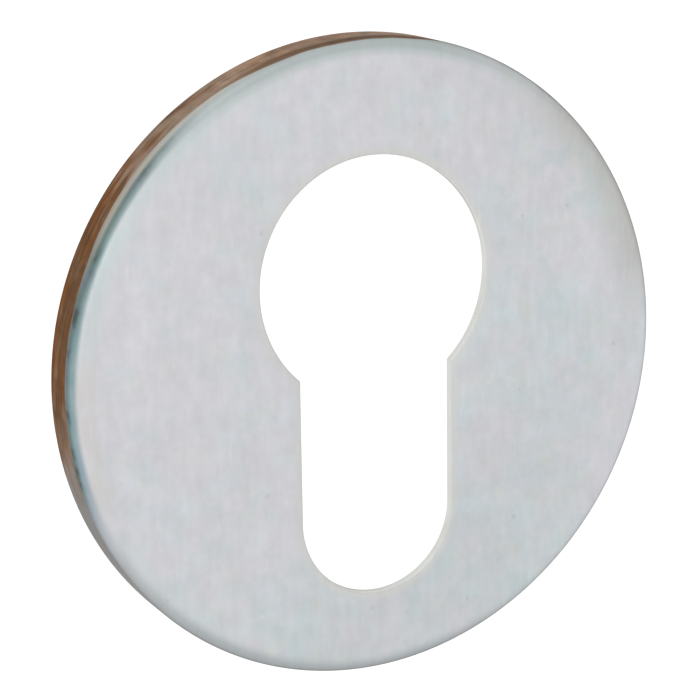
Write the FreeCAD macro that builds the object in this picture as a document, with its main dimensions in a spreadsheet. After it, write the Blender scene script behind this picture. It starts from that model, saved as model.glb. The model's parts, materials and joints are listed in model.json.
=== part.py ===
import FreeCAD, Part
import math
import os

import Sketcher

# A round keyhole escutcheon for a profile cylinder, pressed from one steel sheet.
# It is modelled as it hangs on a door. Z is up and the face looks along -Y.
# The origin is the centre of the disc, on the plane of the back rim.
# All lengths are millimetres.

NODE = "escutcheon_cover"
TOLERANCE = 1e-3

# The sizes that can be set one by one.
# The cover is the outer form, and the cylinder is the standard lock that comes through it.
SIZES = {
    "cover_diameter": 52.0,
    "cover_depth": 4.0,
    "sheet_thickness": 0.7,
    "bend_inner_radius": 0.2,
    "rim_edge_chamfer": 0.15,
    "cylinder_round_diameter": 17.0,
    "cylinder_tail_width": 10.0,
    "cylinder_height": 33.0,
    "round_clearance": 1.5,
    "tail_clearance": 1.7,
    "keyhole_drop": 1.2,
    "keyhole_corner_radius": 0.3,
    "keyhole_front_radius": 0.2,
    "keyhole_back_chamfer": 0.1,
}


class Length:
    """A length with its value and the formula that ties it to the sheet of sizes."""

    def __init__(self, value, formula):
        self.value = value
        self.formula = formula

    def __add__(self, other):
        return Length(self.value + other.value, "(%s + %s)" % (self.formula, other.formula))

    def __sub__(self, other):
        return Length(self.value - other.value, "(%s - %s)" % (self.formula, other.formula))

    def __rmul__(self, factor):
        return Length(factor * self.value, "(%s * %s)" % (factor, self.formula))

    def __truediv__(self, divisor):
        return Length(self.value / divisor, "(%s / %s)" % (self.formula, divisor))


def cell(alias):
    return Length(SIZES[alias], "Sizes." + alias)


# Sizes that follow from the ones above.
sheet_thickness = cell("sheet_thickness")
cover_depth = cell("cover_depth")
cover_radius = cell("cover_diameter") / 2
bend_inner_radius = cell("bend_inner_radius")
bend_outer_radius = bend_inner_radius + sheet_thickness
rim_edge_chamfer = cell("rim_edge_chamfer")
round_radius = cell("cylinder_round_diameter") / 2 + cell("round_clearance")
slot_half_width = cell("cylinder_tail_width") / 2 + cell("tail_clearance")
keyhole_height = cell("cylinder_height") + 2 * cell("round_clearance")
round_lift = keyhole_height / 2 - cell("keyhole_drop") - round_radius
centre_spacing = keyhole_height - round_radius - slot_half_width
corner_radius = cell("keyhole_corner_radius")
front_radius = cell("keyhole_front_radius")
back_chamfer = cell("keyhole_back_chamfer")

document = FreeCAD.newDocument("KeyholeEscutcheon")
sizes_sheet = document.addObject("Spreadsheet::Sheet", "Sizes")
for row, (alias, value) in enumerate(SIZES.items(), start=1):
    sizes_sheet.set("A%d" % row, alias.replace("_", " "))
    sizes_sheet.set("B%d" % row, str(value))
    sizes_sheet.setAlias("B%d" % row, alias)
document.recompute()


# Sketch helpers
# In a sketch, the numbers from 1 up stand for the start, end and centre of a line or arc,
# and those from -1 down stand for the two axes. The first axis starts at the origin.
START, END, CENTRE = range(1, 4)
X_AXIS, Y_AXIS = range(-1, -3, -1)
ORIGIN = (X_AXIS, START)


def line(start, end):
    return Part.LineSegment(FreeCAD.Vector(*start, 0), FreeCAD.Vector(*end, 0))


def arc(centre, radius, first_angle, last_angle):
    circle = Part.Circle(FreeCAD.Vector(*centre, 0), FreeCAD.Vector(0, 0, 1), radius)
    return Part.ArcOfCircle(circle, math.radians(first_angle), math.radians(last_angle))


def new_sketch(body, name, plane_role):
    sketch = body.newObject("Sketcher::SketchObject", name)
    plane = next(item for item in body.Origin.OriginFeatures if item.Role == plane_role)
    sketch.AttachmentSupport = [(plane, "")]
    sketch.MapMode = "FlatFace"
    return sketch


def constrain(sketch, kind, *places):
    sketch.addConstraint(Sketcher.Constraint(kind, *places))


def dimension(sketch, name, length, kind, *places):
    """A dimension of a sketch that follows the sheet of sizes."""
    index = sketch.addConstraint(Sketcher.Constraint(kind, *places, length.value))
    sketch.renameConstraint(index, name)
    sketch.setExpression("Constraints." + name, length.formula)


def draw_sheet_section(body):
    """Half the section of the pressed sheet: X is the radius and Y is the depth."""
    sketch = new_sketch(body, "SheetSection", "XY_Plane")
    outside = cover_radius.value
    inside = (cover_radius - sheet_thickness).value
    front = -cover_depth.value
    bend = bend_outer_radius.value
    bend_centre = (outside - bend, front + bend)
    back_of_face = front + sheet_thickness.value

    face = sketch.addGeometry(line((0, front), (outside - bend, front)))
    outer_bend = sketch.addGeometry(arc(bend_centre, bend, -90, 0))
    skirt = sketch.addGeometry(line((outside, front + bend), (outside, 0)))
    rim = sketch.addGeometry(line((outside, 0), (inside, 0)))
    inner_skirt = sketch.addGeometry(line((inside, 0), (inside, front + bend)))
    inner_bend = sketch.addGeometry(arc(bend_centre, bend_inner_radius.value, -90, 0))
    back = sketch.addGeometry(line((outside - bend, back_of_face), (0, back_of_face)))
    axis = sketch.addGeometry(line((0, back_of_face), (0, front)))

    constrain(sketch, "Tangent", face, END, outer_bend, START)
    constrain(sketch, "Tangent", outer_bend, END, skirt, START)
    constrain(sketch, "Coincident", skirt, END, rim, START)
    constrain(sketch, "Coincident", rim, END, inner_skirt, START)
    constrain(sketch, "Tangent", inner_skirt, END, inner_bend, END)
    constrain(sketch, "Tangent", inner_bend, START, back, START)
    constrain(sketch, "Coincident", back, END, axis, START)
    constrain(sketch, "Coincident", axis, END, face, START)
    constrain(sketch, "Coincident", inner_bend, CENTRE, outer_bend, CENTRE)
    for level in (face, rim, back):
        constrain(sketch, "Horizontal", level)
    for upright in (skirt, inner_skirt, axis):
        constrain(sketch, "Vertical", upright)
    constrain(sketch, "PointOnObject", face, START, Y_AXIS)
    constrain(sketch, "PointOnObject", rim, START, X_AXIS)

    dimension(sketch, "CoverRadius", cover_radius, "DistanceX", *ORIGIN, skirt, START)
    dimension(sketch, "CoverDepth", cover_depth, "DistanceY", face, START, *ORIGIN)
    dimension(sketch, "Thickness", sheet_thickness, "DistanceX", inner_skirt, START, skirt, END)
    dimension(sketch, "BendRadius", bend_inner_radius, "Radius", inner_bend)
    return sketch


def draw_keyhole(body):
    """The outline that the punch cuts: a round part, a straight slot and a round foot."""
    sketch = new_sketch(body, "KeyholeOutline", "XZ_Plane")
    lift = round_lift.value
    half = slot_half_width.value
    foot_level = (round_lift - centre_spacing).value
    corner_x = half + corner_radius.value
    corner_reach = round_radius.value + corner_radius.value
    corner_drop = math.sqrt(corner_reach ** 2 - corner_x ** 2)
    corner_level = lift - corner_drop
    swing = math.degrees(math.atan2(corner_drop, corner_x))

    top = sketch.addGeometry(arc((0, lift), round_radius.value, -swing, 180 + swing))
    left_corner = sketch.addGeometry(arc((-corner_x, corner_level), corner_radius.value, 0, swing))
    left_side = sketch.addGeometry(line((-half, corner_level), (-half, foot_level)))
    foot = sketch.addGeometry(arc((0, foot_level), half, 180, 360))
    right_side = sketch.addGeometry(line((half, foot_level), (half, corner_level)))
    right_corner = sketch.addGeometry(
        arc((corner_x, corner_level), corner_radius.value, 180 - swing, 180))

    constrain(sketch, "Tangent", top, END, left_corner, END)
    constrain(sketch, "Tangent", left_corner, START, left_side, START)
    constrain(sketch, "Tangent", left_side, END, foot, START)
    constrain(sketch, "Tangent", foot, END, right_side, START)
    constrain(sketch, "Tangent", right_side, END, right_corner, END)
    constrain(sketch, "Tangent", right_corner, START, top, START)
    constrain(sketch, "Vertical", left_side)
    constrain(sketch, "Vertical", right_side)
    constrain(sketch, "PointOnObject", top, CENTRE, Y_AXIS)
    constrain(sketch, "PointOnObject", foot, CENTRE, Y_AXIS)
    constrain(sketch, "Equal", left_corner, right_corner)

    dimension(sketch, "RoundRadius", round_radius, "Radius", top)
    dimension(sketch, "FootRadius", slot_half_width, "Radius", foot)
    dimension(sketch, "CornerRadius", corner_radius, "Radius", right_corner)
    dimension(sketch, "RoundLift", round_lift, "DistanceY", *ORIGIN, top, CENTRE)
    dimension(sketch, "CentreSpacing", centre_spacing, "DistanceY", foot, CENTRE, top, CENTRE)
    return sketch


def edges_at_depth(shape, depth, rings):
    """Names of the edges this far in front of the rim: full rings, or the keyhole's stretches."""
    names = []
    for number, edge in enumerate(shape.Edges, start=1):
        box = edge.BoundBox
        level = abs(box.YMin + depth) + abs(box.YMax + depth) < TOLERANCE
        if level and edge.isClosed() == rings:
            names.append("Edge%d" % number)
    return names


def build_cover():
    body = document.addObject("PartDesign::Body", "EscutcheonCover")
    body.Label = NODE

    # Drawing: the sheet's section turned about the cover's axis makes the face and the skirt.
    section = draw_sheet_section(body)
    drawn_cup = body.newObject("PartDesign::Revolution", "DrawnCup")
    drawn_cup.Profile = section
    drawn_cup.ReferenceAxis = (section, ["V_Axis"])
    drawn_cup.Angle = 360
    document.recompute()

    # Piercing: the cut runs forwards from the plane of the rim and right through the face.
    outline = draw_keyhole(body)
    pierced = body.newObject("PartDesign::Pocket", "PiercedKeyhole")
    pierced.Profile = outline
    pierced.Type = "ThroughAll"
    pierced.Reversed = True
    document.recompute()
    expected = Part.Face(outline.Shape.Wires[0]).Area * sheet_thickness.value
    removed = drawn_cup.Shape.Volume - pierced.Shape.Volume
    if abs(removed - expected) > TOLERANCE:
        raise RuntimeError("The keyhole took %.4f mm3 and not %.4f mm3." % (removed, expected))

    # The punch draws the front edge of the hole over, and leaves a burr behind to be cut away.
    rolled = body.newObject("PartDesign::Fillet", "RolledFrontEdge")
    rolled.Base = (pierced, edges_at_depth(pierced.Shape, cover_depth.value, rings=False))
    rolled.setExpression("Radius", front_radius.formula)
    document.recompute()
    deburred = body.newObject("PartDesign::Chamfer", "DeburredBackEdge")
    back_of_face = (cover_depth - sheet_thickness).value
    deburred.Base = (rolled, edges_at_depth(rolled.Shape, back_of_face, rings=False))
    deburred.setExpression("Size", back_chamfer.formula)
    document.recompute()

    # Trimming: both edges of the rim that meets the door are broken.
    trimmed = body.newObject("PartDesign::Chamfer", "BrokenRimEdges")
    trimmed.Base = (deburred, edges_at_depth(deburred.Shape, 0, rings=True))
    trimmed.setExpression("Size", rim_edge_chamfer.formula)

    body.Tip = trimmed
    body.Placement = FreeCAD.Placement()
    return body


def check_document():
    """Stops at any object that failed to build."""
    for item in document.Objects:
        if "Invalid" in item.State or "Error" in item.State:
            raise RuntimeError("%s didn't build: %s" % (item.Name, item.State))


cover = build_cover()
document.recompute()
check_document()
if cover.Shape.isNull() or not cover.Shape.isValid():
    raise RuntimeError("The cover isn't a valid solid.")

os.makedirs("parts", exist_ok=True)
cover.Shape.exportStep(os.path.join("parts", NODE + ".step"))

box = cover.Shape.optimalBoundingBox(False, False)
print("%s: %.3f x %.3f x %.3f mm" % (NODE, box.XLength, box.YLength, box.ZLength))
print("solids %d, faces %d" % (len(cover.Shape.Solids), len(cover.Shape.Faces)))
print("volume %.3f mm3" % cover.Shape.Volume)
print("keyhole height %.2f mm" % keyhole_height.value)
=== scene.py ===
# %% [markdown]
# # A pressed steel keyhole escutcheon
# The object is one thin round cover, as it hangs on a door round a lock cylinder. Its face is
# satin steel with fine upright brush lines, its skirt is painted brown as a reflection of a brown
# surface, and its back is open.
# The imported model gives the real size and place, so it is loaded first and its box is kept.
# Everything below is in metres, with Z up and the face looking along -Y.

# %% Load the imported model
import json
import math

import bmesh
import bpy
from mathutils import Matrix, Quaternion, Vector


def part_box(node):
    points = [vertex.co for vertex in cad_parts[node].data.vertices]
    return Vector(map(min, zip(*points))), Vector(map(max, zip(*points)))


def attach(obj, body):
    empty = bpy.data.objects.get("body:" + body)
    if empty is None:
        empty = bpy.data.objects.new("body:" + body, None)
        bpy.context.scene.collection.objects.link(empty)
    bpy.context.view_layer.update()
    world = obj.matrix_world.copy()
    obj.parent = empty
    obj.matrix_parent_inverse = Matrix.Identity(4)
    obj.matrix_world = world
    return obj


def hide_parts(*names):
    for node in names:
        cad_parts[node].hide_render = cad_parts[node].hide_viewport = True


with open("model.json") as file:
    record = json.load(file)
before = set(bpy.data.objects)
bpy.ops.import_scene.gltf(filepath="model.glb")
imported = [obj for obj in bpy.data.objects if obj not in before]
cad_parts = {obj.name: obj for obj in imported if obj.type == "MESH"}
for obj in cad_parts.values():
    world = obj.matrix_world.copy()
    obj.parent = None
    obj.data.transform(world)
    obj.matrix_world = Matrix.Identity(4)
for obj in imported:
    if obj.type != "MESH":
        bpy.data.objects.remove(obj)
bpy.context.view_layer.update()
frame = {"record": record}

# %% [markdown]
# ## Sizes
# The overall size comes from the model's box, and the keyhole's round part from its mount.
# The smaller sizes are those of the sheet and its edges, and are named here in metres.

# %% Name the sizes
MM = 0.001
NODE = "escutcheon_cover"

cover_low, cover_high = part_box(NODE)
cover_radius = (cover_high[0] - cover_low[0]) / 2
front = cover_low[1]
back = cover_high[1]

mounts = {mount["name"]: mount for mount in frame["record"]["mounts"]}
round_radius = mounts["keyhole_round"]["dims"]["r_mm"] * MM
round_level = mounts["keyhole_round"]["pos_m"][2]

sheet_thickness = 0.7 * MM
bend_inner_radius = 0.2 * MM
bend_outer_radius = bend_inner_radius + sheet_thickness
rim_edge_chamfer = 0.15 * MM
keyhole_height = 36.0 * MM
slot_half_width = 6.7 * MM
corner_radius = 0.3 * MM
front_edge_radius = 0.2 * MM
back_edge_chamfer = 0.1 * MM

foot_level = round_level + round_radius - keyhole_height + slot_half_width
inner_radius = cover_radius - sheet_thickness
flat_radius = cover_radius - bend_outer_radius
bend_level = front + bend_outer_radius
back_of_face = front + sheet_thickness
print("cover radius %.2f mm, depth %.2f mm" % (cover_radius / MM, (back - front) / MM))
print("foot of the slot turns about z = %.2f mm" % (foot_level / MM))

# %% [markdown]
# ## The keyhole's outline
# A punch cuts the hole in one stroke, so its edge is one line: most of a circle, two small
# corners, two straight sides and a round foot. A boolean cut would leave long thin triangles
# and a rough edge to shade. The outline is walked point by point instead, and each point keeps
# the direction that leads into the metal, so that the edge can be rounded later on.

# %% Walk round the keyhole
POINT_SPACING = 0.3 * MM
CORNER_STEPS = 6

corner_x = slot_half_width + corner_radius
corner_drop = math.sqrt((round_radius + corner_radius) ** 2 - corner_x ** 2)
corner_level = round_level - corner_drop
corner_swing = math.atan2(corner_drop, corner_x)


def along_arc(centre, radius, first, last, steps, metal_outside=True):
    """Points of an arc with their direction into the metal, without the last one."""
    found = []
    for step in range(steps):
        angle = first + (last - first) * step / steps
        direction = Vector((math.cos(angle), 0.0, math.sin(angle)))
        place = Vector((centre[0], 0.0, centre[1])) + radius * direction
        found.append((place, direction if metal_outside else -direction))
    return found


def along_line(start, end, into_metal):
    """Points of a straight side with their direction into the metal, without the last one."""
    start = Vector((start[0], 0.0, start[1]))
    end = Vector((end[0], 0.0, end[1]))
    steps = round((end - start).length / POINT_SPACING)
    return [(start.lerp(end, step / steps), Vector(into_metal)) for step in range(steps)]


def steps_for(radius, angle):
    return round(radius * angle / POINT_SPACING)


round_turn = math.pi + 2 * corner_swing
outline = along_arc((0, round_level), round_radius, -corner_swing, math.pi + corner_swing,
                    steps_for(round_radius, round_turn))
outline += along_arc((-corner_x, corner_level), corner_radius, corner_swing, 0,
                     CORNER_STEPS, metal_outside=False)
outline += along_line((-slot_half_width, corner_level), (-slot_half_width, foot_level), (-1, 0, 0))
outline += along_arc((0, foot_level), slot_half_width, math.pi, 2 * math.pi,
                     steps_for(slot_half_width, math.pi))
outline += along_line((slot_half_width, foot_level), (slot_half_width, corner_level), (1, 0, 0))
outline += along_arc((corner_x, corner_level), corner_radius, math.pi, math.pi - corner_swing,
                     CORNER_STEPS, metal_outside=False)
print("points round the keyhole:", len(outline))

# %% [markdown]
# ## The section as rings
# On the real cover a press draws the sheet over a die: the face stays flat, the edge bends
# round a small radius and becomes the skirt. Walked from the keyhole's front edge out over the
# face, round the bend, down the skirt and back inside, that section is a closed loop. Each
# point of it becomes a ring of vertices, and each ring has one vertex for each outline point.
# Rings near the hole follow the keyhole, and rings near the edge are circles.

# %% Make the rings
BEND_STEPS = 14
EDGE_STEPS = 5
FACE_STEPS = 14
SKIRT_STEPS = 4

spokes = [place.normalized() for place, into_metal in outline]


def hole_ring(offset, depth):
    return [place + offset * into_metal + Vector((0, depth, 0)) for place, into_metal in outline]


def round_ring(radius, depth):
    return [radius * spoke + Vector((0, depth, 0)) for spoke in spokes]


def rings_between(first, last, steps):
    """The rings that lie between two others, without those two."""
    found = []
    for step in range(1, steps):
        share = step / steps
        found.append([a.lerp(b, share) for a, b in zip(first, last)])
    return found


def bend_rings(radius, first_angle, last_angle, steps):
    """Rings of a bend about the sheet's bend circle; angle 0 faces forwards, 90 outwards."""
    found = []
    for step in range(steps + 1):
        angle = math.radians(first_angle + (last_angle - first_angle) * step / steps)
        reach = flat_radius + radius * math.sin(angle)
        found.append(round_ring(reach, bend_level - radius * math.cos(angle)))
    return found


outside_rings = []
for step in range(EDGE_STEPS + 1):
    angle = math.radians(90 * step / EDGE_STEPS)
    offset = front_edge_radius * (1 - math.cos(angle))
    depth = front + front_edge_radius * (1 - math.sin(angle))
    outside_rings.append(hole_ring(offset, depth))
bend = bend_rings(bend_outer_radius, 0, 90, BEND_STEPS)
outside_rings += rings_between(outside_rings[-1], bend[0], FACE_STEPS)
outside_rings += bend
skirt_end = round_ring(cover_radius, back - rim_edge_chamfer)
outside_rings += rings_between(bend[-1], skirt_end, SKIRT_STEPS) + [skirt_end]
outside_rings.append(round_ring(cover_radius - rim_edge_chamfer, back))

inside_rings = [round_ring(inner_radius + rim_edge_chamfer, back)]
inner_skirt_end = round_ring(inner_radius, back - rim_edge_chamfer)
inner_bend = bend_rings(bend_inner_radius, 90, 0, EDGE_STEPS)
inside_rings += [inner_skirt_end] + rings_between(inner_skirt_end, inner_bend[0], SKIRT_STEPS)
inside_rings += inner_bend
back_edge = hole_ring(back_edge_chamfer, back_of_face)
inside_rings += rings_between(inner_bend[-1], back_edge, FACE_STEPS) + [back_edge]
inside_rings.append(hole_ring(0, back_of_face - back_edge_chamfer))

rings = outside_rings + inside_rings
print("rings:", len(rings), "of", len(outline), "vertices")

# %% [markdown]
# ## The mesh
# Each pair of neighbouring rings is joined by a strip of four-sided faces, and the last ring
# joins the first, so the cover is one closed skin like the real sheet. The outside strips get
# the outside finish and the rest get the raw finish of the inside. Edges sharper than the
# bends stay crisp in the shading.

# %% Build the cover
OUTSIDE, INSIDE = 0, 1
SHARP_ANGLE = math.radians(30)


def build_cover():
    grid = bmesh.new()
    rows = [[grid.verts.new(place) for place in ring] for ring in rings]
    for number, row in enumerate(rows):
        following = rows[(number + 1) % len(rows)]
        zone = OUTSIDE if number < len(outside_rings) or number == len(rows) - 1 else INSIDE
        for column in range(len(row)):
            after = (column + 1) % len(row)
            corners = (row[column], row[after], following[after], following[column])
            face = grid.faces.new(corners)
            face.material_index = zone
            face.smooth = True
    bmesh.ops.recalc_face_normals(grid, faces=grid.faces)
    mesh = bpy.data.meshes.new("pressed_cover")
    grid.to_mesh(mesh)
    grid.free()
    mesh.set_sharp_from_angle(angle=SHARP_ANGLE)
    cover = bpy.data.objects.new("pressed_cover", mesh)
    bpy.context.scene.collection.objects.link(cover)
    return cover


cover = build_cover()
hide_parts(NODE)
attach(cover, "root")
print("faces of the cover:", len(cover.data.polygons))

# %% [markdown]
# ## Shader sums as Python
# A finish is a sum of small effects, and it is easier to read as arithmetic than as a web of
# nodes. `Wire` stands for one output socket, and its operators add the Math nodes. `Finish` is
# one node tree, and its `node` method makes any other node. Colours go through Mix and Vector
# Math, because a Math node would turn them grey.

# %% Wrap sockets and node trees


class Wire:
    """One output socket that can be used in a sum."""

    def __init__(self, finish, socket):
        self.finish = finish
        self.socket = socket

    def also(self, name):
        """Another output of the same node."""
        return Wire(self.finish, self.socket.node.outputs[name])

    def __add__(self, other):
        return self.finish.math("ADD", self, other)

    def __radd__(self, other):
        return self.finish.math("ADD", other, self)

    def __sub__(self, other):
        return self.finish.math("SUBTRACT", self, other)

    def __rsub__(self, other):
        return self.finish.math("SUBTRACT", other, self)

    def __mul__(self, other):
        return self.finish.math("MULTIPLY", self, other)

    def __rmul__(self, other):
        return self.finish.math("MULTIPLY", other, self)

    def __truediv__(self, other):
        return self.finish.math("DIVIDE", self, other)

    def step(self, low, high):
        """0 below low, 1 above high, and smooth between; high may be the lower one."""
        settings = {"interpolation_type": "SMOOTHSTEP", "clamp": True}
        places = {"Value": self, "From Min": low, "From Max": high}
        return self.finish.node("ShaderNodeMapRange", settings, places)

    def between(self, first, last):
        """A number that goes from first to last as this one goes from 0 to 1."""
        return first + self * (last - first)


class Finish:
    """A node tree with one method that makes any node."""

    def __init__(self, tree):
        self.tree = tree
        self.tree.nodes.clear()

    def node(self, kind, settings=None, inputs=None, output=0):
        made = self.tree.nodes.new(kind)
        for name, value in (settings or {}).items():
            setattr(made, name, value)
        for name, value in (inputs or {}).items():
            if isinstance(value, Wire):
                self.tree.links.new(value.socket, made.inputs[name])
            else:
                made.inputs[name].default_value = value
        return Wire(self, made.outputs[output]) if made.outputs else made

    def math(self, operation, *terms):
        return self.node("ShaderNodeMath", {"operation": operation}, dict(enumerate(terms)))

    def vector(self, x, y, z):
        return self.node("ShaderNodeCombineXYZ", None, {"X": x, "Y": y, "Z": z})

    def noise(self, place, detail=2.0, roughness=0.5):
        """Smooth noise about 0.5 whose humps are one unit of place wide."""
        inputs = {"Vector": place, "Scale": 1.0, "Detail": detail, "Roughness": roughness}
        return self.node("ShaderNodeTexNoise", {"noise_dimensions": "3D"}, inputs, output="Fac")

    def mix(self, mask, first, second):
        """A colour that goes from first to second as mask goes from 0 to 1."""
        settings = {"data_type": "RGBA", "clamp_factor": True}
        return self.node("ShaderNodeMix", settings, {0: mask, 6: first, 7: second}, output=2)

    def shade(self, colour, amount):
        """A colour or vector times a number, where 1 changes nothing."""
        settings = {"operation": "SCALE"}
        return self.node("ShaderNodeVectorMath", settings, {0: colour, "Scale": amount})


def new_finish(name):
    material = bpy.data.materials.new(name)
    material.use_nodes = True
    return material, Finish(material.node_tree)


def screen_colour(red, green, blue):
    """A colour read off a screen, from 0 to 255, as the linear colour that a shader takes."""
    def linear(level):
        level = level / 255
        return level / 12.92 if level <= 0.04045 else ((level + 0.055) / 1.055) ** 2.4
    return (linear(red), linear(green), linear(blue), 1.0)


print("a mid grey of 128 is", round(screen_colour(128, 128, 128)[0], 3), "in linear light")

# %% [markdown]
# ## Where a point lies
# The outside is one skin, but its face, its bend and its skirt are finished differently. Painting
# each part's faces with a material of its own would leave hard borders. The shader works out where
# each point lies instead, and all later effects are written with those few measures. `side` is 1
# on the right and `rise` is 1 at the top. `out` is the distance from the bend's start, and
# `behind` and `from_hole` those from the front and the keyhole, in mm. `turn` goes from 0 to 1
# round the bend, and `run` is the distance that the sheet's outside has run from the bend's start.

# %% Work out places on the cover
LEAST = 0.001
BEND_LENGTH = math.pi / 2 * bend_outer_radius / MM


def gap_to_keyhole(finish, x, z):
    """How far a point of the face lies from the keyhole's edge, in mm."""
    up = z - round_level / MM
    from_round = finish.math("SQRT", x * x + up * up) - round_radius / MM
    foot = foot_level / MM
    nearest = finish.math("MINIMUM", finish.math("MAXIMUM", z, foot), round_level / MM)
    rise = z - nearest
    from_slot = finish.math("SQRT", x * x + rise * rise) - slot_half_width / MM
    return finish.math("MINIMUM", from_round, from_slot)


class Place:
    """Where a point lies on the cover, in mm and shares."""

    def __init__(self, finish):
        self.finish = finish
        coordinates = finish.node("ShaderNodeTexCoord", output="Object")
        self.point = finish.shade(coordinates, 1 / MM)
        self.x = finish.node("ShaderNodeSeparateXYZ", None, {"Vector": self.point}, output="X")
        self.y = self.x.also("Y")
        self.z = self.x.also("Z")
        self.radius = finish.math("SQRT", self.x * self.x + self.z * self.z)
        self.side = self.x / self.radius
        self.rise = self.z / self.radius
        self.out = self.radius - flat_radius / MM
        self.behind = self.y - front / MM
        reach = finish.math("MAXIMUM", self.out, 0.0)
        drop = finish.math("MAXIMUM", bend_outer_radius / MM - self.behind, LEAST)
        self.turn = finish.math("ARCTAN2", reach, drop) / (math.pi / 2)
        past = finish.math("MAXIMUM", self.behind - bend_outer_radius / MM, 0.0)
        self.run = self.turn * BEND_LENGTH + past
        self.from_hole = gap_to_keyhole(finish, self.x, self.z)


print("the sheet's outside runs %.2f mm round the bend" % BEND_LENGTH)

# %% [markdown]
# ## Zones and noise
# Wear, tone and painted light and shade lie in zones with soft borders, such as the upper left of
# the bend. A painted mask would need an image. Here a zone is a short list instead. Each row names a
# measure of the point, where the zone starts and where it is full, and the rows are multiplied. No
# zone of real metal is even, so noise of a named size in mm breaks it up.

# %% Make zones and noise
NOISE_MIDDLE = 0.5


def within(place, zone):
    """1 where every row of a zone is full, and 0 where any row hasn't started."""
    return math.prod(getattr(place, measure).step(start, full) for measure, start, full in zone)


def clouds(place, size, detail=2.0, roughness=0.5):
    """Noise about 0.5 whose humps have a size in mm."""
    return place.finish.noise(place.finish.shade(place.point, 1 / size), detail, roughness)


def grain(place, size, amount, detail=2.0, roughness=0.5):
    """Noise about 0 whose humps have a size in mm, times an amount."""
    return (clouds(place, size, detail, roughness) - NOISE_MIDDLE) * amount


def patches(place, size, start, full, detail=2.0):
    """1 in soft patches and 0 between them; start and full are levels of the noise."""
    return clouds(place, size, detail).step(start, full)


print("noise lies about", NOISE_MIDDLE)

# %% [markdown]
# ## Brush lines
# An abrasive belt draws fine upright lines over the face and over its edge. Each line is a
# shallow groove that spreads a reflection sideways. Noise that is stretched along Z and squeezed
# along X gives such lines, and three sizes of it together look less even than one: hairlines,
# short strokes where a grain of the belt bit deeper, and broad soft bands.

# %% Draw the brush lines
HAIRLINE = (0.07, 5.0)
LINE = (0.58, 2.8)
BAND = (2.2, 26.0)


def brush_lines(finish, place, width, length):
    """Noise about 0 in upright lines of a width and a length in mm."""
    spread = finish.vector(place.x / width, place.y / length, place.z / length)
    return finish.noise(spread) - NOISE_MIDDLE


def brushing(finish, place):
    """The three sizes of brush line."""
    return [brush_lines(finish, place, *size) for size in (HAIRLINE, LINE, BAND)]


print("brush lines are %.2f, %.1f and %.1f mm wide" % (HAIRLINE[0], LINE[0], BAND[0]))

# %% [markdown]
# ## The tint of the face
# Satin steel is pale because it mirrors a bright room, spread wide by the brushing. Its colour
# drifts from a lilac grey at the upper left to a cyan grey at the lower right, and back to lilac
# along the right edge. One slope gives the drift, and soft noise keeps it from looking like a
# painted gradient. A rougher noise shifts the tint from patch to patch. One more gives a faint
# straw tone in places, most where the steel is cyan, as handling leaves it.

# %% Tint the face
LILAC = screen_colour(199, 198, 203)
CYAN = screen_colour(191, 200, 202)
STRAW = screen_colour(200, 200, 190)
CYAN_IN_THE_MIDDLE = 0.29
CYAN_PER_MM_RIGHT = 0.012
CYAN_PER_MM_DOWN = 0.009
BLOTCHES = {"size": 6.0, "amount": 1.9}
TINTS = {"size": 2.5, "amount": 2.6, "detail": 4.0, "roughness": 0.7}
RIGHT_EDGE = [("radius", 20.0, 24.5), ("side", 0.55, 0.90), ("rise", 0.28, 0.02)]
LESS_CYAN_AT_THE_EDGE = 0.35
STRAW_PATCHES = {"size": 2.1, "start": 0.48, "full": 0.76}
STRAW_ON_LILAC_AND_CYAN = (0.20, 0.45)


def sheet_tint(finish, place):
    """The steel's own colour over the whole outside."""
    cyan = CYAN_IN_THE_MIDDLE + place.x * CYAN_PER_MM_RIGHT - place.z * CYAN_PER_MM_DOWN
    cyan = cyan - within(place, RIGHT_EDGE) * LESS_CYAN_AT_THE_EDGE
    cyan = cyan + grain(place, **BLOTCHES) + grain(place, **TINTS)
    straw = patches(place, **STRAW_PATCHES) * cyan.between(*STRAW_ON_LILAC_AND_CYAN)
    return finish.mix(straw, finish.mix(cyan, LILAC, CYAN), STRAW)


print("blotches are about %.0f mm wide, and tints %.1f mm" % (BLOTCHES["size"], TINTS["size"]))

# %% [markdown]
# ## Light and dark on the face
# The face is painted a little lighter on the right and a little darker at the lower right, as
# painted light and shade, and all pressed sheet is mottled. More lamps could give the slope, but
# they would light the skirt and the back as well. So the slope is painted into the colour instead,
# and noise in two sizes adds the mottling.

# %% Shade the face
RIGHT_SIDE = [("x", 10.0, 21.0)]
RIGHT_SIDE_PAINTED_LIGHT = 0.02
RIGHT_EDGE_PAINTED_LIGHT = 0.02
DOWN_RIGHT_LEAN = 0.8
DOWN_RIGHT_MM = (3.0, 24.0)
DOWN_RIGHT_PAINTED_SHADE = 0.05
MOTTLES = {"size": 1.6, "amount": 0.165}
FINE_MOTTLES = {"size": 0.6, "amount": 0.09}


def sheet_tone_with_painted_slope(finish, place):
    """The steel's colour with a painted slope of light and shade, and its mottles."""
    down_right = (place.x * DOWN_RIGHT_LEAN - place.z).step(*DOWN_RIGHT_MM)
    # painted light on the right and at the right edge, painted shade towards the lower right
    light = 1 + within(place, RIGHT_SIDE) * RIGHT_SIDE_PAINTED_LIGHT
    light = light + within(place, RIGHT_EDGE) * RIGHT_EDGE_PAINTED_LIGHT
    light = light - down_right * DOWN_RIGHT_PAINTED_SHADE
    light = light + grain(place, **MOTTLES) + grain(place, **FINE_MOTTLES)
    return finish.shade(sheet_tint(finish, place), light)


print("mottles are %.1f and %.1f mm wide" % (MOTTLES["size"], FINE_MOTTLES["size"]))

# %% [markdown]
# ## Worn tones near the bend
# Near the bend the face is more cyan at the upper and lower left, neutral between them and grey at
# the upper right, where hands have dulled it. Each tone has a zone of its own. A clean border
# would look like paint, so a tone is weaker between patches of noise than in them.

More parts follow.
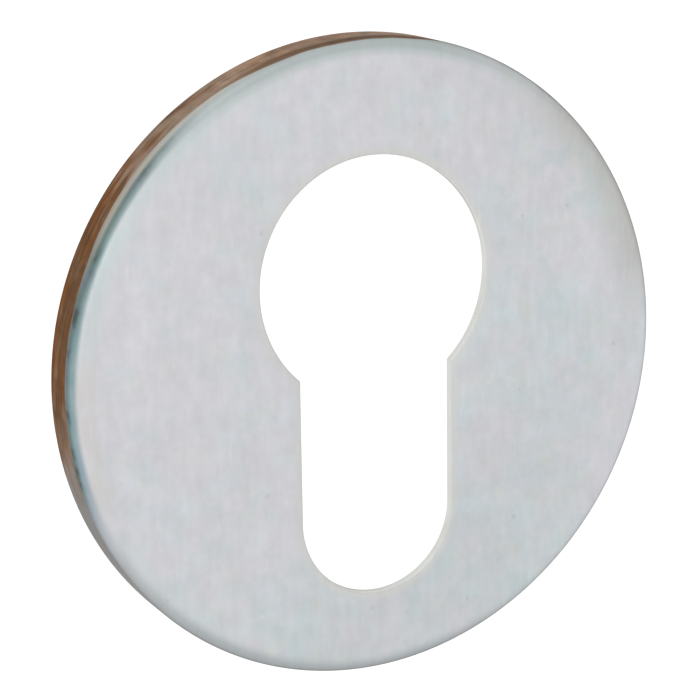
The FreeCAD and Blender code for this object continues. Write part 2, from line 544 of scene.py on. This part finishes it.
# %% Tone the edge of the face
PALE_CYAN = screen_colour(192, 201, 202)
NEUTRAL = screen_colour(196, 194, 193)
EDGE_GREY = screen_colour(178, 178, 173)
WORN_PATCHES = {"size": 1.8, "start": 0.40, "full": 0.62}
UPPER_LEFT = [("side", -0.25, -0.65), ("rise", -0.05, 0.35)]
LOWER_LEFT = [("side", -0.40, -0.65), ("rise", -0.36, -0.54)]
LOWER_LEFT_SHARE = 0.6
CYAN_RING = [("out", -1.9, -0.2)]
CYAN_BETWEEN_AND_IN_PATCHES = (0.55, 1.0)
LEFT_EDGE = [("out", -1.9, -0.6), ("side", -0.86, -0.95),
             ("rise", 0.20, 0.04), ("rise", -0.42, -0.24)]
NEUTRAL_BETWEEN_AND_IN_PATCHES = (0.5, 0.9)
WORN_EDGE = [("out", -3.6, 0.6), ("side", 0.40, 0.75), ("rise", -0.02, 0.32)]
WORN_EDGE_SHARE = 0.8


def edge_tones(finish, place, colour):
    patchy = patches(place, **WORN_PATCHES)
    cyan = within(place, UPPER_LEFT) + within(place, LOWER_LEFT) * LOWER_LEFT_SHARE
    cyan = cyan * within(place, CYAN_RING) * patchy.between(*CYAN_BETWEEN_AND_IN_PATCHES)
    colour = finish.mix(cyan, colour, PALE_CYAN)
    neutral = within(place, LEFT_EDGE) * patchy.between(*NEUTRAL_BETWEEN_AND_IN_PATCHES)
    colour = finish.mix(neutral, colour, NEUTRAL)
    return finish.mix(within(place, WORN_EDGE) * WORN_EDGE_SHARE, colour, EDGE_GREY)


print("the worn edge starts %.1f mm inside the bend" % -WORN_EDGE[0][1])

# %% [markdown]
# ## A smudge and the keyhole's edge
# A faint smudge lies along the edge at the upper right. It is an oval about a point, and the only
# mark with a place of its own. In a narrow ring round the keyhole the steel is neutral, where the
# punch has rubbed it, and the wall that it has sheared is bright. Both follow the distance from
# the keyhole, so they keep its outline and need no faces of their own.

# %% Smudge the face and rub the keyhole's edge
SMUDGE = screen_colour(178, 190, 192)
SMUDGE_PLACE = (17.5, 14.0)
SMUDGE_REACH = 5.0
SMUDGE_STRETCH = 0.3
SMUDGE_CORE = 0.2
SMUDGE_SHARE = 0.5
HOLE_GREY = screen_colour(198, 199, 195)
BRIGHT_CUT = screen_colour(219, 220, 216)
RUBBED_RING = [("from_hole", 1.0, 0.1)]
RUBBED_SHARE = 0.8
CUT_WALL = [("from_hole", 0.14, 0.02)]


def smudge_zone(finish, place):
    """1 in the middle of an oval along the edge, and 0 outside it."""
    right = place.x - SMUDGE_PLACE[0]
    up = place.z - SMUDGE_PLACE[1]
    across = right + up
    along = right - up
    reach = finish.math("SQRT", across * across + along * along * SMUDGE_STRETCH)
    return (reach / SMUDGE_REACH).step(1.0, SMUDGE_CORE)


def smudge_and_hole_edge(finish, place, colour):
    smudge = smudge_zone(finish, place) * patches(place, **WORN_PATCHES) * SMUDGE_SHARE
    colour = finish.mix(smudge, colour, SMUDGE)
    colour = finish.mix(within(place, RUBBED_RING) * RUBBED_SHARE, colour, HOLE_GREY)
    return finish.mix(within(place, CUT_WALL), colour, BRIGHT_CUT)


print("the rubbed ring is %.1f mm wide" % RUBBED_RING[0][1])

# %% [markdown]
# ## Strokes, specks and scuffs
# A few pale strokes and soft dark specks are left from use, and short scuffs lean to the right on
# the worn edge. Voronoi cells scatter the strokes and specks evenly without a list of places, and
# a cell's random colour says if it has one, and how large. The scuffs are noise in short lines.

# %% Mark the face
STROKES = {"cell": (1.6, 14.0), "size": 0.09, "share": 0.25}
STROKES_LIGHTER = 0.04
SPECKS = {"cell": (4.5, 4.5), "size": 0.06, "share": 0.20}
SPECKS_DARKER = 0.11
SMALLEST_AND_LARGEST = (0.5, 1.5)
MARK_CORE = 0.2
SCUFF = (0.42, 1.6)
SCUFF_LEAN = 0.18
SCUFF_AMOUNT = 0.24


def scattered(finish, place, cell, size, share):
    """1 in marks in a share of the cells. A cell is in mm, and size is a share of it."""
    width, height = cell
    spread = finish.vector(place.x / width, place.z / height, 0.0)
    settings = {"voronoi_dimensions": "2D", "feature": "F1"}
    distance = finish.node("ShaderNodeTexVoronoi", settings, {"Vector": spread, "Scale": 1.0},
                           output="Distance")
    chance = finish.node("ShaderNodeSeparateXYZ", None, {"Vector": distance.also("Color")})
    size = chance.also("Y").between(*SMALLEST_AND_LARGEST) * size
    return distance.step(size, size * MARK_CORE) * chance.step(1 - share, 1 - share + LEAST)


def scuffs(finish, place):
    """Noise about 0 in short lines that lean to the right, on the worn edge only."""
    across = place.x - place.z * SCUFF_LEAN
    lines = finish.noise(finish.vector(across / SCUFF[0], 0.0, place.z / SCUFF[1]))
    return (lines - NOISE_MIDDLE) * within(place, WORN_EDGE) * patches(place, **WORN_PATCHES)


def marks(finish, place, colour):
    strokes = scattered(finish, place, **STROKES) * STROKES_LIGHTER
    specks = scattered(finish, place, **SPECKS) * SPECKS_DARKER
    return finish.shade(colour, 1 + strokes - specks + scuffs(finish, place) * SCUFF_AMOUNT)


print("specks are about %.2f mm wide" % (2 * SPECKS["size"] * SPECKS["cell"][0]))

# %% [markdown]
# ## The border of the face
# The face is painted a soft grey border along the bend, as painted shade where the sheet turns away.
# It starts up to a millimetre inside the face. The border is strongest at the top and the foot, and
# faint on the right. It is mixed in along `out`, so it keeps an even distance from the edge.

# %% Paint the shade at the border
TOP_BORDER_SHADE = screen_colour(171, 181, 179)
FOOT_BORDER_SHADE = screen_colour(162, 167, 169)
RIGHT = [("side", 0.15, 0.60)]
LESS_ON_THE_RIGHT = (1.0, 0.3)
TOP = [("rise", 0.60, 0.95)]
TOP_BORDER = [("out", -0.8, 0.25)]
TOP_SHARE = 0.85
FOOT = [("rise", -0.50, -0.95)]
FOOT_BORDER = [("out", -0.55, 0.5)]
FOOT_SHARE = 0.9
LOWER_LEFT_BORDER = [("out", -0.4, 0.7), ("rise", -0.30, -0.60), ("side", -0.30, -0.60)]
LOWER_LEFT_BORDER_SHARE = 0.6


def top_and_foot(place):
    """A mask of the top and a mask of the foot, both less on the right."""
    less = within(place, RIGHT).between(*LESS_ON_THE_RIGHT)
    return within(place, TOP) * less, within(place, FOOT) * less


def border_painted_shade(finish, place, colour):
    top, foot = top_and_foot(place)
    # painted shade along the bend at the top, the foot and the lower left
    colour = finish.mix(within(place, TOP_BORDER) * top * TOP_SHARE, colour, TOP_BORDER_SHADE)
    colour = finish.mix(within(place, FOOT_BORDER) * foot * FOOT_SHARE, colour, FOOT_BORDER_SHADE)
    lower_left = within(place, LOWER_LEFT_BORDER) * LOWER_LEFT_BORDER_SHARE
    return finish.mix(lower_left, colour, FOOT_BORDER_SHADE)


print("the border starts %.2f mm inside the bend at the top and %.2f mm at the foot"
      % (-TOP_BORDER[0][1], -FOOT_BORDER[0][1]))

# %% [markdown]
# ## The painted shade on the bend
# Round the bend itself the steel is painted darker as painted shade, least at the top and the foot,
# which the border has greyed before. At the upper right the outer part of the bend is painted darker
# still, as painted shade with a ragged edge. The bend's mesh stays whole, and noise shifts where the
# dark tone starts.

# %% Shade the bend
BEND_SHADE_GREY = screen_colour(146, 149, 148)
RAGGED_EDGE_SHADE = screen_colour(128, 130, 129)
BEND = [("turn", 0.2, 1.0)]
BEND_SHADE_SHARE = 0.6
LESS_BEND_SHADE_AT_TOP_AND_FOOT = 0.3
LESS_BEND_SHADE_ON_THE_RIGHT = (1.0, 0.4)
RAGGED_SHADE_ZONE = [("side", 0.35, 0.60), ("rise", 0.20, 0.45)]
RAGGED_SHADE_TURN = (0.45, 0.85)
RAGGED_SHADE_SHARE = 0.75
RAGGED_SHADE_NOISE = {"size": 1.3, "amount": 0.7, "detail": 4.0}


def bend_painted_shade(finish, place, colour):
    top, foot = top_and_foot(place)
    # painted shade round the bend
    dull = BEND_SHADE_SHARE - (top + foot) * LESS_BEND_SHADE_AT_TOP_AND_FOOT
    dull = dull * within(place, RIGHT).between(*LESS_BEND_SHADE_ON_THE_RIGHT)
    colour = finish.mix(within(place, BEND) * dull, colour, BEND_SHADE_GREY)
    # darker painted shade along the upper right edge of the bend, with a ragged border
    edge = (place.turn + grain(place, **RAGGED_SHADE_NOISE)).step(*RAGGED_SHADE_TURN)
    return finish.mix(edge * within(place, RAGGED_SHADE_ZONE) * RAGGED_SHADE_SHARE, colour, RAGGED_EDGE_SHADE)


print("the bend is dull by %.0f percent at most" % (100 * BEND_SHADE_SHARE))

# %% [markdown]
# ## The halo along the bend
# On the left a cyan grey halo is painted on the start of the bend as a painted reflection, bluer
# lower down and duller above. A lamp could mirror in the bend there, but it would do so from one
# side only.
# The painted halo is a mask along `run` instead, so it keeps its width, and noise makes it uneven in
# beads.

# %% Lay the halo
HALO = screen_colour(134, 158, 160)
LOW_HALO = screen_colour(143, 161, 171)
HIGH_HALO = screen_colour(138, 151, 153)
LEFT_ARC = [("side", 0.0, -0.3), ("rise", 0.88, 0.62), ("rise", -0.52, -0.20)]
LOW = [("rise", 0.02, -0.22)]
HIGH = [("rise", 0.40, 0.72)]
HALO_RUN = (0.08, 0.62)
HALO_NEARER_WHERE_HIGH = 0.14
BEAD = 1.6
BEADED = (0.65, 1.25)


def beaded_arc(place):
    """About 1 on the left part of the bend, uneven in beads, and 0 elsewhere."""
    return within(place, LEFT_ARC) * clouds(place, BEAD).between(*BEADED)


def paint_halo_reflection(finish, place, colour):
    high = within(place, HIGH)
    halo = finish.mix(within(place, LOW), HALO, LOW_HALO)
    halo = finish.mix(high, halo, HIGH_HALO)
    reach = (place.run + high * HALO_NEARER_WHERE_HIGH).step(*HALO_RUN)
    # the painted reflection of the halo
    return finish.mix(reach * beaded_arc(place), colour, halo)


print("the halo is full %.2f mm round the bend" % HALO_RUN[1])

# %% [markdown]
# ## The dark line
# In the halo runs a narrow dark line, painted as a dark reflection, teal in places and slate in
# others, with darker beads, and at the upper left it is nearer the face. A groove could be cut for
# it, but the line is painted reflection and not depth. So it is a mask along `run` as well, which
# keeps it parallel to the edge.

# %% Draw the dark line
TEAL = screen_colour(102, 122, 116)
SLATE = screen_colour(106, 120, 126)
BEAD_DARK = screen_colour(78, 86, 84)
SLATE_PATCHES = {"size": 3.0, "start": 0.42, "full": 0.60}
DARK_BEADS = {"size": BEAD, "start": 0.52, "full": 0.70}
DARK_BEADS_SHARE = 0.8
DARK_RUN = (0.60, 1.15)
RISING = [("rise", 0.10, 0.45)]
DARK_NEARER_WHERE_RISING = 0.32
DARK_ARC = [("rise", -0.50, -0.20)]


def draw_dark_reflection_line(finish, place, colour):
    tone = finish.mix(patches(place, **SLATE_PATCHES), TEAL, SLATE)
    tone = finish.mix(patches(place, **DARK_BEADS) * DARK_BEADS_SHARE, tone, BEAD_DARK)
    reach = (place.run + within(place, RISING) * DARK_NEARER_WHERE_RISING).step(*DARK_RUN)
    # the painted dark reflection line
    return finish.mix(reach * within(place, DARK_ARC) * beaded_arc(place), colour, tone)


print("the dark line starts %.2f mm round the bend" % DARK_RUN[0])

# %% [markdown]
# ## The pale line and the bare skirt
# At the upper left a paler line is painted outside the dark one as a painted highlight, where the
# skirt begins. Elsewhere the skirt is painted a darker grey from there on. The painted brown
# reflection of the next cells covers most of that grey, and leaves it bare along the foot.

# %% Draw the pale line
CREAM = screen_colour(174, 168, 157)
PALE_CREAM = screen_colour(188, 187, 179)
SKIRT_GREY = screen_colour(160, 161, 160)
PALE_ARC = [("side", -0.05, -0.40), ("rise", 0.30, 0.56)]
PALE_LINE = [("run", 0.75, 1.20)]
PALER = [("rise", 0.55, 0.85)]
GREY_SKIRT = [("run", 1.2, 1.45)]


def draw_pale_highlight_line(finish, place, colour):
    pale = within(place, PALE_ARC)
    cream = finish.mix(within(place, PALER), CREAM, PALE_CREAM)
    # the painted highlight line at the upper left
    colour = finish.mix(within(place, PALE_LINE) * pale, colour, cream)
    return finish.mix(within(place, GREY_SKIRT) * (1 - pale), colour, SKIRT_GREY)


print("the pale line starts %.2f mm round the bend" % PALE_LINE[0][1])

# %% [markdown]
# ## The brown skirt
# The skirt is painted brown as a painted reflection of a brown surface near the cover: dark orange
# brown on the left, and pinker towards the top and towards the foot. A second skin over the steel
# would stand past its real size, so the painted brown is a colour of the metal itself, and the skirt
# stays metallic.
# It changes in lines that run round the skirt, which are noise squeezed along Y.

# %% Paint the skirt's brown reflection
ORANGE_BROWN = screen_colour(138, 92, 60)
DEEP_BROWN = screen_colour(120, 92, 69)
PINK_BROWN = screen_colour(171, 147, 129)
STREAK_DETAIL = 1.5
ORANGE_STREAKS = {"width": 1.1, "length": 4.5}
ORANGE_RANGE = (-0.16, 0.14)
HIGH_PINK_STREAKS = {"width": 1.0, "length": 4.0, "amount": 0.8}
HIGH_PINK_RANGE = (0.60, 0.86)
CREST = [("rise", 0.86, 0.97)]
HIGH_PINK_BELOW_AND_ON_CREST = (0.95, 0.55)
LOW_PINK_STREAKS = {"width": 1.2, "length": 3.5, "amount": 0.5}
LOW_PINK_RANGE = (-0.04, 0.30)
LOW_PINK_SHARE = 0.8


def skirt_streaks(finish, place, width, length, amount=1.0):
    """Noise about 0 in lines round the skirt, of a width and a length in mm."""
    spread = finish.vector(place.x / length, place.y / width, place.z / length)
    return (finish.noise(spread, STREAK_DETAIL) - NOISE_MIDDLE) * amount


# the tones of the painted brown reflection on the skirt
def brown_reflection_tones(finish, place):
    orange = skirt_streaks(finish, place, **ORANGE_STREAKS).step(*ORANGE_RANGE)
    colour = finish.mix(orange, DEEP_BROWN, ORANGE_BROWN)
    high = (place.rise + skirt_streaks(finish, place, **HIGH_PINK_STREAKS)).step(*HIGH_PINK_RANGE)
    high = high * within(place, CREST).between(*HIGH_PINK_BELOW_AND_ON_CREST)
    colour = finish.mix(high, colour, PINK_BROWN)
    low = (skirt_streaks(finish, place, **LOW_PINK_STREAKS) - place.rise).step(*LOW_PINK_RANGE)
    return finish.mix(low * LOW_PINK_SHARE, colour, PINK_BROWN)


print("the crest starts at %.0f degrees" % math.degrees(math.asin(CREST[0][1])))

# %% [markdown]
# ## Streaks on the skirt
# The painted brown reflection is streaked with olive grey and dark brown. It is painted darker along
# the back rim and along the front of the crest, and its top is painted lighter, as painted light
# from above, and more mottled. Each effect is a mix or a shade of its own, so that it can be tuned
# alone.

# %% Streak the skirt
DARK_BROWN = screen_colour(78, 60, 47)
OLIVE_GREY = screen_colour(152, 143, 124)
RIM_DEPTH = (back - front) / MM
OLIVE_STREAKS = {"width": 0.7, "length": 3.0}
OLIVE_RISE = 0.06
OLIVE_RANGE = (-0.02, 0.26)
OLIVE_SHARE = 0.4
DARK_STREAKS = {"width": 0.35, "length": 5.0}
DARK_RANGE = (-0.04, 0.26)
DARK_SHARE = 0.45
SKIRT_TOP = [("rise", 0.78, 0.94)]
SKIRT_TOP_PAINTED_LIGHT = 0.22
SKIRT_MOTTLES = {"width": 1.6, "length": 0.9}
MOTTLED_BELOW_AND_ON_TOP = (0.5, 1.3)
BACK_LINE = [("behind", RIM_DEPTH - 0.5, RIM_DEPTH - 0.15)]
BACK_LINE_SHARE = 0.35
FRONT_LINE = [("run", 2.2, 1.3), ("rise", 0.84, 0.95)]
FRONT_LINE_SHARE = 0.6
FRONT_LINE_MOTTLED = 0.8


def painted_brown_reflection(finish, place):
    olive = skirt_streaks(finish, place, **OLIVE_STREAKS) + place.rise * OLIVE_RISE
    olive = olive.step(*OLIVE_RANGE) * OLIVE_SHARE
    colour = finish.mix(olive, brown_reflection_tones(finish, place), OLIVE_GREY)
    dark = skirt_streaks(finish, place, **DARK_STREAKS).step(*DARK_RANGE)
    colour = finish.mix(dark * DARK_SHARE, colour, DARK_BROWN)
    top = within(place, SKIRT_TOP)
    mottled = skirt_streaks(finish, place, **SKIRT_MOTTLES)
    # painted light on the top of the skirt
    light = 1 + top * SKIRT_TOP_PAINTED_LIGHT + mottled * top.between(*MOTTLED_BELOW_AND_ON_TOP)
    front_line = within(place, FRONT_LINE) * (FRONT_LINE_SHARE + mottled * FRONT_LINE_MOTTLED)
    lines = within(place, BACK_LINE) * BACK_LINE_SHARE + front_line
    return finish.mix(lines, finish.shade(colour, light), DARK_BROWN)


print("the skirt is %.1f mm deep with its bend" % RIM_DEPTH)

# %% [markdown]
# ## Where the brown ends
# Along the foot the painted brown reflection gives way to the darker grey of the skirt, with an
# uneven border. Towards the face it ends where the bend does, a little further back at the upper
# left, where the pale line is, and nearer the face on the crest. One ragged noise moves both
# borders, so that they match.

# %% End the painted brown
TONE_END = (-0.38, -0.14)
FRONT_END = (1.28, 1.44)
RAGGED_STREAKS = {"width": 0.8, "length": 3.0}
RAGGED_AROUND = 0.35
RAGGED_IN_FRONT = 0.25
FURTHER_BACK = [("rise", 0.32, 0.56), ("rise", 0.88, 0.72)]
FURTHER_BACK_MM = 0.36
FURTHER_FORWARD = [("rise", 0.86, 0.97), ("side", 0.32, 0.12)]
FURTHER_FORWARD_MM = 0.50


def brown_reflection_share(finish, place):
    """1 where the painted brown reflection covers the steel."""
    ragged = skirt_streaks(finish, place, **RAGGED_STREAKS)
    around = (place.rise + ragged * RAGGED_AROUND).step(*TONE_END)
    reach = place.run - within(place, FURTHER_BACK) * FURTHER_BACK_MM
    reach = reach + within(place, FURTHER_FORWARD) * FURTHER_FORWARD_MM
    return around * (reach + ragged * RAGGED_IN_FRONT).step(*FRONT_END)


ends = [math.degrees(math.asin(share)) for share in TONE_END]
print("the tone fades out between %.0f and %.0f degrees on each side" % tuple(ends))

# %% [markdown]
# ## The outside finish
# The parts above meet in one shader. Brush lines shade the colour by a few percent, roughen the
# reflection in turns and groove the surface, all from the same noise, as real grooves would.
# `Specular Tint` darkens the metal where it is seen edge-on, because dirt and fine grooves keep
# a satin surface from turning into a mirror there.

# %% Put the outside finish together
LAYERS = (edge_tones, smudge_and_hole_edge, marks, border_painted_shade, bend_painted_shade, paint_halo_reflection,
          draw_dark_reflection_line, draw_pale_highlight_line)
HAIR_SHADE = 0.03
LINE_SHADE = 0.11
BAND_SHADE = 0.06
SATIN_ROUGHNESS = 0.36
HAIR_ROUGHNESS = 0.20
BROWN_ROUGHNESS = 0.08
GROOVE_DEPTH = 0.004 * MM
GROOVE_STRENGTH = 0.5
EDGE_ON = (0.45, 0.43, 0.42, 1.0)


def outside_finish():
    material, finish = new_finish("satin_steel_and_brown_rim")
    place = Place(finish)
    hair, line, band = brushing(finish, place)
    steel = sheet_tone_with_painted_slope(finish, place)
    for layer in LAYERS:
        steel = layer(finish, place, steel)
    steel = finish.shade(steel, 1 + hair * HAIR_SHADE + line * LINE_SHADE + band * BAND_SHADE)
    # the painted brown reflection over the skirt
    brown = brown_reflection_share(finish, place)
    colour = finish.mix(brown, steel, painted_brown_reflection(finish, place))
    roughness = SATIN_ROUGHNESS + hair * HAIR_ROUGHNESS + brown * BROWN_ROUGHNESS
    groove = finish.node("ShaderNodeBump", None, {"Strength": GROOVE_STRENGTH,
                                                  "Distance": GROOVE_DEPTH, "Height": hair + line})
    shader = finish.node("ShaderNodeBsdfPrincipled", None,
                         {"Base Color": colour, "Metallic": 1.0, "Roughness": roughness,
                          "Specular Tint": EDGE_ON, "Normal": groove})
    finish.node("ShaderNodeOutputMaterial", None, {"Surface": shader})
    return material


outside = outside_finish()
cover.data.materials.append(outside)
print("nodes in the outside finish:", len(outside.node_tree.nodes))

# %% [markdown]
# ## The raw inside
# Nobody brushes the back. The sheet keeps its dull mill finish there, a little darker and
# warmer, with soft clouds of drawing oil. Fine lines run across its flat, as the mill has rolled
# them, and round the skirt, where the punch slid down it. A single grey would do for a part that
# faces the door, but the cover can be picked up and turned over.

# %% Finish the inside
MILL_GREY = screen_colour(176, 176, 173)
MILL_DARK = screen_colour(166, 167, 166)
OIL_CLOUDS = {"size": 6.0, "start": 0.35, "full": 0.65, "detail": 4.0}
ROLLED_LINE = (9.0, 0.25)
DRAWN_LINES = {"width": 0.12, "length": 14.0}
INNER_WALL = [("radius", inner_radius / MM - 0.6, inner_radius / MM - 0.2)]
MILL_SHADE = 0.18
MILL_ROUGHNESS = 0.42
MILL_LINE_ROUGHNESS = 0.3
MILL_GROOVE_STRENGTH = 0.4


def mill_lines(finish, place):
    """Noise about 0 in lines across the flat of the inside and round its wall."""
    length, width = ROLLED_LINE
    rolled = finish.noise(finish.vector(place.x / length, place.y, place.z / width)) - NOISE_MIDDLE
    drawn = skirt_streaks(finish, place, **DRAWN_LINES)
    wall = within(place, INNER_WALL)
    return rolled * (1 - wall) + drawn * wall


def inside_finish():
    material, finish = new_finish("raw_mill_steel")
    place = Place(finish)
    lines = mill_lines(finish, place)
    colour = finish.mix(patches(place, **OIL_CLOUDS), MILL_GREY, MILL_DARK)
    colour = finish.shade(colour, 1 + lines * MILL_SHADE)
    roughness = MILL_ROUGHNESS + lines * MILL_LINE_ROUGHNESS
    groove = finish.node("ShaderNodeBump", None, {"Strength": MILL_GROOVE_STRENGTH,
                                                  "Distance": GROOVE_DEPTH, "Height": lines})
    shader = finish.node("ShaderNodeBsdfPrincipled", None,
                         {"Base Color": colour, "Metallic": 1.0, "Roughness": roughness,
                          "Normal": groove})
    finish.node("ShaderNodeOutputMaterial", None, {"Surface": shader})
    return material


inside = inside_finish()
cover.data.materials.append(inside)
print("nodes in the inside finish:", len(inside.node_tree.nodes))

# %% [markdown]
# ## The studio
# The cover hangs in the open, so the floor lies well below it. The floor and the world are
# white to the camera and in reflections, and give a softer light to everything else. That keeps
# the background white without more light on the steel, and the floor keeps the shadow.

# %% Floor and world
FLOOR_DROP = 0.075
FLOOR_SIZE = 3.0
FLOOR_WHITE = (0.85, 0.85, 0.85, 1.0)
FLOOR_ROUGHNESS = 0.9
ROOM_LIGHT = 0.54
WHITE = (1.0, 1.0, 1.0, 1.0)
LIFT = (0.62, 0.62, 0.62, 1.0)
BLACK = (0.0, 0.0, 0.0, 1.0)


def seen_or_mirrored(finish):
    """1 for rays from the camera, from a reflection or through glass."""
    seen = finish.node("ShaderNodeLightPath", output="Is Camera Ray")
    return seen + seen.also("Is Glossy Ray") + seen.also("Is Transmission Ray")


def build_floor():
    grid = bmesh.new()
    bmesh.ops.create_grid(grid, x_segments=1, y_segments=1, size=FLOOR_SIZE / 2)
    mesh = bpy.data.meshes.new("floor")
    grid.to_mesh(mesh)
    grid.free()
    floor = bpy.data.objects.new("floor", mesh)
    floor.location.z = cover_low[2] - FLOOR_DROP
    bpy.context.scene.collection.objects.link(floor)
    material, finish = new_finish("pale_floor")
    shader = finish.node("ShaderNodeBsdfPrincipled", None,
                         {"Base Color": FLOOR_WHITE, "Roughness": FLOOR_ROUGHNESS,
                          "Emission Color": finish.mix(seen_or_mirrored(finish), BLACK, LIFT),
                          "Emission Strength": 1.0})
    finish.node("ShaderNodeOutputMaterial", None, {"Surface": shader})
    mesh.materials.append(material)
    return floor


def light_world():
    world = bpy.data.worlds.new("studio")
    bpy.context.scene.world = world
    world.use_nodes = True
    finish = Finish(world.node_tree)
    white = finish.node("ShaderNodeBackground", None, {"Strength": 1.0, "Color": WHITE})
    soft = finish.node("ShaderNodeBackground", None, {"Strength": ROOM_LIGHT, "Color": WHITE})
    both = finish.node("ShaderNodeMixShader", None, {0: seen_or_mirrored(finish), 1: soft, 2: white})
    finish.node("ShaderNodeOutputWorld", None, {"Surface": both})


floor = build_floor()
light_world()
print("the floor lies %.0f mm below the cover" % (FLOOR_DROP / MM))

# %% [markdown]
# ## Lamps
# Two wide round lamps add a little light, so the cover isn't lit the same from all sides. One
# stands at the upper left, and the other in front and a little below. Satin metal spreads their
# reflection into a soft slope over the face.

# %% Place the lamps
KEY = {"place": (-0.35, -0.5, 0.6), "width": 1.0, "power": 0.45}
FILL = {"place": (-0.02, -0.8, -0.2), "width": 0.8, "power": 0.72}


def soft_lamp(name, place, width, power):
    light = bpy.data.lights.new(name, "AREA")
    light.shape = "DISK"
    light.size = width
    light.energy = power
    lamp = bpy.data.objects.new(name, light)
    lamp.location = place
    lamp.rotation_euler = (-Vector(place)).to_track_quat("-Z", "Y").to_euler()
    bpy.context.scene.collection.objects.link(lamp)
    return lamp


soft_lamp("key", **KEY)
soft_lamp("fill", **FILL)
print("key lamp %.1f W, fill lamp %.1f W" % (KEY["power"], FILL["power"]))

# %% [markdown]
# ## The camera
# The camera looks at the cover from the left of its front and a little from above. It is close,
# which makes the near edge larger. The cover stands a little off the middle of the picture, so
# the camera has a very small shift instead of turning away.

# %% Set the camera
VIEW_AZIMUTH = math.radians(-26.6)
VIEW_ELEVATION = math.radians(14.5)
VIEW_ROLL = math.radians(-0.8)
VIEW_DISTANCE = 198 * MM
PIXELS_PER_MM = 12.32
IMAGE_SIDE = 696
ORIGIN_PIXEL = (354.0, 352.5)
CLIP_START = 10 * MM


def set_camera():
    towards = Vector((math.sin(VIEW_AZIMUTH) * math.cos(VIEW_ELEVATION),
                      -math.cos(VIEW_AZIMUTH) * math.cos(VIEW_ELEVATION),
                      math.sin(VIEW_ELEVATION)))
    data = bpy.data.cameras.new("camera")
    data.lens = data.sensor_width * PIXELS_PER_MM / MM * VIEW_DISTANCE / IMAGE_SIDE
    data.clip_start = CLIP_START
    data.shift_x = -(ORIGIN_PIXEL[0] - IMAGE_SIDE / 2) / IMAGE_SIDE
    data.shift_y = (ORIGIN_PIXEL[1] - IMAGE_SIDE / 2) / IMAGE_SIDE
    camera = bpy.data.objects.new("camera", data)
    camera.location = VIEW_DISTANCE * towards
    turn = (-towards).to_track_quat("-Z", "Y")
    camera.rotation_euler = (turn @ Quaternion((0, 0, 1), VIEW_ROLL)).to_euler()
    bpy.context.scene.collection.objects.link(camera)
    bpy.context.scene.camera = camera
    return data


lens = set_camera()
bpy.context.scene.view_settings.view_transform = "Standard"
print("lens %.1f mm, shift %.3f and %.3f" % (lens.lens, lens.shift_x, lens.shift_y))
